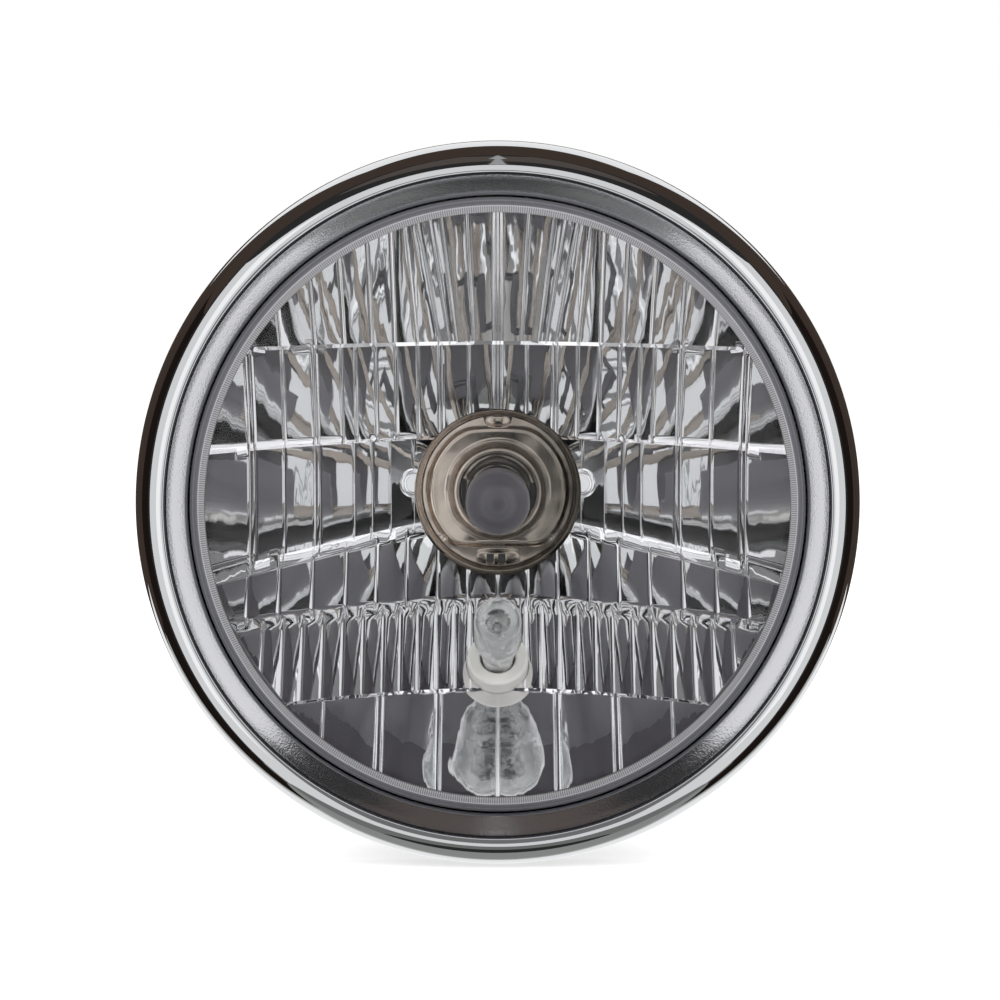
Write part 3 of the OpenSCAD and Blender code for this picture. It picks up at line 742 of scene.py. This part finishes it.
def pip(name, x, up, h, wide, tall, high, material):
    """A low dome, round or oval, stamped out of sheet."""
    steps = 64
    rings = 12
    turns = [2 * math.pi * i / steps for i in range(steps)]
    points = []
    for j in range(rings):
        t = math.pi / 2 * j / rings
        for a in turns:
            across, along = wide * math.cos(a) * math.cos(t), tall * math.sin(a) * math.cos(t)
            points.append((x + across, up + along, h + high * math.sin(t)))
    points += [(x, up, h + high), (x, up, h - 0.4)]
    points += [(x + wide * math.cos(a), up + tall * math.sin(a), h - 0.4) for a in turns]
    top = rings * steps
    foot = top + 2
    faces = []
    for i in range(steps):
        n = (i + 1) % steps
        for ring in range(0, (rings - 1) * steps, steps):
            faces.append((ring + i, ring + n, ring + steps + n, ring + steps + i))
        faces.append((top - steps + i, top - steps + n, top))
        faces.append((i, foot + i, foot + n, n))
        faces.append((foot + i, top + 1, foot + n))
    return mesh_piece(name, points, faces, [material])


def plate_edge(a):
    """Edge of the bulb's raised plate: a circle with a flat above and a longer one below."""
    up = math.sin(a)
    flat = PLATE_FLAT_ABOVE if up > 0 else PLATE_FLAT_BELOW
    straight = flat / max(abs(up), 0.05)
    return (PLATE_R ** -30 + straight ** -30) ** (-1 / 30)


def flange_outline(a):
    """The bulb's flange and its raised plate at one angle, with the three lugs."""
    h = VERTEX_H
    edge = plate_edge(a)
    on_lug = any(abs(math.remainder(a - math.radians(at), 2 * math.pi)) < 0.17 for at in LUG_TURNS)
    outer = FLANGE_R + (1.4 if on_lug else 0.0)
    return [
        (9.2, h - FLANGE_T), (outer, h - FLANGE_T), (outer, h - 0.2), (outer - 0.3, h), (edge + 1.0, h),
        (edge + 0.55, h + 0.06), (edge + 0.2, h + 0.3), (edge - 0.15, h + 0.7), (edge - 0.5, h + 0.93),
        (edge - 1.0, h + 1.0), (edge - 1.4, h + 0.98), (14.4, h + 0.6), (9.2, h + 0.6),
    ]


def build_bulb_flange(metal_finish):
    h = VERTEX_H
    flange = turned("flange", flange_outline, metal_finish)
    stamped = [pip("top_lug", 0.0, 19.5, h + 0.1, 3.8, 2.1, 1.2, metal_finish)]
    for at in LUG_TURNS[1:]:
        a = math.radians(at)
        stamped.append(pip("dimple", 20.2 * math.cos(a), 20.2 * math.sin(a), h, 1.3, 1.3, 0.9, metal_finish))
    stamped.append(pip("trough", 0.0, -18.0, h - 0.15, 6.2, 1.7, 0.45, metal_finish))
    for piece in stamped:
        combine(flange, "UNION", [piece])
    holes = [block("hole", x, x + 2.0, -20.0, -17.6, h - 2, h + 2, metal_finish) for x in HOLE_X]
    keep(combine(flange, "DIFFERENCE", holes), "bulb_flange")


def build_bulb_cup(metal_finish):
    """The cup that holds the glass, with a slot each side in its floor."""
    h = VERTEX_H
    foot = [(15.2, h + 0.5), (14.0, h + 0.85), (13.1, h + 1.5), (12.5, h + 2.2), (12.15, h + 3.2)]
    foot.append((12.0, h + 5.0))
    crest = arc(11.3, h + 6.55, 0.8, 0.85, 0, 180, 16)
    well = [(10.45, h + 3.6), (10.1, h + 2.7), (9.4, h + 2.25), (8.55, h + 2.2), (8.55, h + 1.0)]
    cup = lathe("cup", foot + crest + well, [metal_finish], steps=192)
    slots = [
        block("slot", -9.9, -8.7, -4.7, 3.3, h + 0.5, h + 3.4, metal_finish),
        block("slot", 8.7, 9.9, -4.7, 2.2, h + 0.5, h + 3.4, metal_finish),
    ]
    keep(combine(cup, "DIFFERENCE", slots), "bulb_cup")


def build_painted_shade_floors(finish):
    """Painted shade: dark plates just inside the cup's slots and the flange's holes, so that these show dark
    as the bulb's shaded inside.
    """
    h = VERTEX_H
    shaded_openings = [(-9.9, -8.8, -4.7, 3.3, h + 1.2, h + 2.5), (8.8, 9.9, -4.7, 2.2, h + 1.2, h + 2.5)]
    shaded_openings += [(x, x + 2.0, -20.0, -17.6, h - 0.9, h - 0.4) for x in HOLE_X]
    for box in shaded_openings:
        floor = block("painted_shade_floor", *box, finish)
        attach(floor, "root")


def build_seat_ring(metal_finish):
    """The ring on the reflector's neck: its lip holds the flange, and two hooks hold the clip."""
    h = VERTEX_H
    back = h - FLANGE_T
    outline = [(31.0, back), (31.0, h), (22.7, h)]
    outline += arc(22.1, h + 1.65, 0.6, 0.65, 0, 150, 12)
    outline += [(21.45, h + 1.5), (21.25, h + 1.1), (20.95, h + 0.95), (20.6, h + 0.9), (20.6, h)]
    outline += [(21.7, h), (21.7, back)]
    ring = lathe("seat_ring", outline, [metal_finish], steps=256)
    for side in (-1, 1):
        for x0, x1, h1 in ((17.0, 18.3, back + 0.5), (16.2, 18.3, back - 1.5)):
            hook = block("hook", *sorted((side * x0, side * x1)), 17.0, 21.0, back - 2.4, h1, metal_finish)
            combine(ring, "UNION", [hook])
    notches = []
    for at, half in zip(LUG_TURNS, (4.3, 3.3, 3.3)):
        notch = block("notch", 20.0, 23.3, -half, half, back - 1, h, metal_finish)
        a = math.radians(at)
        for vertex in notch.data.vertices:
            x, up = vertex.co.x, vertex.co.z
            vertex.co.x = x * math.cos(a) - up * math.sin(a)
            vertex.co.z = x * math.sin(a) + up * math.cos(a)
        notches.append(notch)
    keep(combine(ring, "DIFFERENCE", notches), "bulb_seat_ring")


def build_position_lamp(glass_finish, white_finish):
    inner_r = LAMP_GLASS_R - LAMP_GLASS_WALL
    outline = [(3.4, -4.0), (4.2, -4.0), (4.2, 7.6), (4.5, 9.0), (4.6, 12.4), (5.2, 13.4), (6.0, 14.6)]
    outline.append((LAMP_GLASS_R, 16.6))
    outline += arc(0.0, 25.65, LAMP_GLASS_R, LAMP_GLASS_R, 0, 90, 24)
    outline += arc(0.0, 25.65, inner_r, inner_r, 90, 0, 24)
    outline += [(inner_r, 16.8), (5.2, 15.2), (4.4, 14.2), (3.9, 12.6), (3.8, 9.2), (3.4, 7.8)]
    bulb = lathe("small_bulb", outline, [glass_finish], steps=128)
    keep(to_lamp_axis(bulb), "lamp_glass")
    collar = [(6.6, -10.5), (11.0, -10.5), (11.0, -9.0), (8.3, -9.0), (8.3, 5.6)]
    collar += arc(7.3, 6.0, 1.0, 1.0, 10, 90, 8)
    collar += [(5.2, 7.0), (4.75, 6.7), (4.7, 6.0), (6.6, 5.4)]
    ring = lathe("small_collar", collar, [white_finish], steps=128)
    keep(to_lamp_axis(ring), "lamp_collar")


WHITE = (1.0, 1.0, 1.0)
BROWN = (1.0, 0.72, 0.58)
GREEN = (0.98, 1.0, 0.96)
# What the chrome and the mirror reflect: name, first and last turn, first and last rise in
# degrees, brightness and tint. Turn 0 is the lens's way. Each card stands in front of those
# before it.
CARDS = (
    ("room_front", -90, 90, -90, 90, 0.03, WHITE),
    ("room_behind", 90, 270, -90, 90, 0.014, BROWN),
    ("table_front", -90, 90, -72, -50, 0.2, GREEN),
    ("light_front", -81, 81, -55, 41, 0.85, WHITE),
    ("ceiling", -75, 75, 60, 84, 0.1, (1.0, 0.84, 0.76)),
    ("brown_above", 90, 270, 30, 90, 0.06, BROWN),
    ("table_behind", 90, 270, -90, -55, 0.32, GREEN),
    ("table_far", 130, 230, -55, -20, 0.5, GREEN),
    ("wall_far_left", -178, -120, -20, 30, 0.055, BROWN),
    ("wall_far_right", 120, 178, -20, 30, 0.055, BROWN),
    ("backdrop_high", 152, 208, 16, 48, 1.0, WHITE),
    ("backdrop_low", 140, 220, -50, -12, 1.0, WHITE),
    ("lamp_near_left", -48, -26, -30, 36, 1.2, WHITE),
    ("lamp_near_right", 26, 48, -30, 36, 1.2, WHITE),
    ("person", -16, 16, -38, 13, 0.2, WHITE),
    ("gap", -9, 9, -9, 9, 0.8, WHITE),
    ("pole_low", -1.6, 1.6, 43, 72, 0.4, WHITE),
    ("pole_high", -5, 5, 72, 88, 0.4, WHITE),
)
CARD_DISTANCE = 2.4
CARD_GAP = 0.012


def build_card(name, turn0, turn1, rise0, rise1, strength, tint, distance):
    """A studio card as a patch of a ball round the lamp, seen in reflections alone."""
    steps = 24
    points = []
    for i in range(steps + 1):
        a = math.radians(turn0 + (turn1 - turn0) * i / steps)
        for j in range(steps + 1):
            e = math.radians(rise0 + (rise1 - rise0) * j / steps)
            way = Vector((math.sin(a) * math.cos(e), -math.cos(a) * math.cos(e), math.sin(e)))
            points.append(way * distance)
    faces = []
    for i in range(steps):
        for j in range(steps):
            k = i * (steps + 1) + j
            faces.append((k, k + 1, k + steps + 2, k + steps + 1))
    mesh = bpy.data.meshes.new(name)
    mesh.from_pydata(points, [], faces)
    paint = Paint(name)
    light = paint.shader("ShaderNodeEmission", Color=(*tint, 1.0), Strength=strength)
    mesh.materials.append(paint.surface(light))
    obj = bpy.data.objects.new(name, mesh)
    bpy.context.scene.collection.objects.link(obj)
    obj.visible_camera = False
    obj.visible_diffuse = False
    obj.visible_shadow = False


def soft_lamp(name, place, size, energy):
    data = bpy.data.lights.new(name, "AREA")
    data.shape = "SQUARE"
    data.size = size
    data.energy = energy
    obj = bpy.data.objects.new(name, data)
    bpy.context.scene.collection.objects.link(obj)
    obj.location = place
    obj.rotation_euler = (-Vector(place)).to_track_quat("-Z", "Y").to_euler()
    obj.visible_glossy = False
    obj.visible_camera = False


def build_air():
    """Even light from all round, which the camera and the reflections see as white."""
    paint = Paint("studio_air", bpy.data.worlds.new("studio_air"))
    path = paint.node("ShaderNodeLightPath")
    seen = paint.maths("MAXIMUM", paint.take(path, "Is Camera Ray"), paint.take(path, "Is Glossy Ray"))
    seen = paint.maths("MAXIMUM", seen, paint.take(path, "Is Transmission Ray"))
    air = paint.shader("ShaderNodeBackground", Color=(1.0, 1.0, 1.0, 1.0), Strength=seen * 0.45 + 0.55)
    bpy.context.scene.world = paint.surface(air, "ShaderNodeOutputWorld")


def build_floor():
    """A pale floor just under the lamp, lifted to white for the camera but not its shadow."""
    mesh = bpy.data.meshes.new("floor")
    z = cad_low[2] - 0.0002
    mesh.from_pydata([(-4, -4, z), (4, -4, z), (4, 4, z), (-4, 4, z)], [], [(0, 1, 2, 3)])
    paint = Paint("pale_floor")
    lit = paint.shader("ShaderNodeBsdfDiffuse", Color=(0.7, 0.7, 0.7, 1.0))
    seen = paint.take(paint.node("ShaderNodeLightPath"), "Is Camera Ray")
    glow = paint.shader("ShaderNodeEmission", Strength=seen * 0.62)
    both = paint.take(paint.node("ShaderNodeAddShader", values={0: lit, 1: glow}))
    mesh.materials.append(paint.surface(both))
    floor = bpy.data.objects.new("floor", mesh)
    bpy.context.scene.collection.objects.link(floor)
    floor.visible_glossy = False


def build_studio():
    build_air()
    build_floor()
    soft_lamp("lamp_left", (-1.4, -1.6, 1.4), 1.2, 22)
    soft_lamp("lamp_right", (1.4, -1.6, 1.4), 1.2, 22)
    soft_lamp("lamp_top", (0.0, 0.4, 1.9), 1.4, 16)
    for i, card in enumerate(CARDS):
        build_card(*card, CARD_DISTANCE - CARD_GAP * i)


def build_camera():
    data = bpy.data.cameras.new("camera")
    data.sensor_width = SENSOR_W
    data.lens = SENSOR_W * CAMERA_DISTANCE / PICTURE_W
    data.clip_start = 0.05
    data.clip_end = 60.0
    obj = bpy.data.objects.new("camera", data)
    bpy.context.scene.collection.objects.link(obj)
    rise = math.radians(CAMERA_RISE)
    obj.location = CAMERA_AIM + Vector((0.0, -math.cos(rise), math.sin(rise))) * CAMERA_DISTANCE
    obj.rotation_euler = (CAMERA_AIM - obj.location).to_track_quat("-Z", "Y").to_euler()
    bpy.context.scene.camera = obj


chrome = plain("rim_chrome", colour(218, 219, 221), 0.035, 1.0)
satin = satin_chrome()
coat = mirror_coat()
shell = grained_metal("shell_coat", colour(168, 169, 172), 0.42, 0.12, 400.0)
bulb_metal = nickel()
black = rubber()
zinc = grained_metal("zinc_steel", colour(186, 188, 190), 0.32, 0.1)
spring = grained_metal("spring_steel", colour(150, 151, 154), 0.3, 0.1)
blade = grained_metal("blade_steel", colour(205, 205, 207), 0.25, 0.08)
lens_clear = clear("lens_clear", (0.985, 0.99, 0.99, 1.0), 0.6)
bulb_clear = clear("bulb_clear", (0.97, 0.975, 0.975, 1.0), 1.0)
white = plain("white_plastic", colour(244, 241, 236), 0.35)
dark = plain("dark_plastic", colour(52, 52, 54), 0.5)
tungsten = plain("tungsten", colour(110, 110, 114), 0.4, 1.0)

finish_of = {
    "rim_chrome": chrome, "zinc_steel": zinc, "black_rubber": black, "clear_glass": lens_clear,
    "mirror_coat": coat, "spring_steel": spring, "seat_steel": bulb_metal, "bulb_nickel": bulb_metal,
    "bulb_glass_slot": bulb_clear, "tungsten": tungsten, "dark_plastic": dark, "blade_steel": blade,
    "white_plastic": white,
}
finish_of_node = {"bulb_shield": plain("shield_grey", colour(150, 146, 153), 0.35)}
slot_of = {piece["node"]: piece["material_slot"] for piece in frame["record"]["subparts"]}
for node, obj in frame["nodes"].items():
    obj.data.materials.clear()
    obj.data.materials.append(finish_of_node.get(node, finish_of[slot_of[node]]))
    soften(obj, 30.0)

# The crease's dark chrome is painted shade.
build_rim(chrome, satin, plain("rim_crease_painted_shade", colour(92, 92, 96), 0.2, 1.0))
build_reflector(coat, shell)
build_lens(lens_clear, lens_edge())
build_bulb_glass(bulb_clear, tip_paint())
build_bulb_flange(bulb_metal)
build_bulb_cup(bulb_metal)
build_painted_shade_floors(dark)
build_seat_ring(bulb_metal)
build_position_lamp(blown_glass(), white)
build_studio()
build_camera()
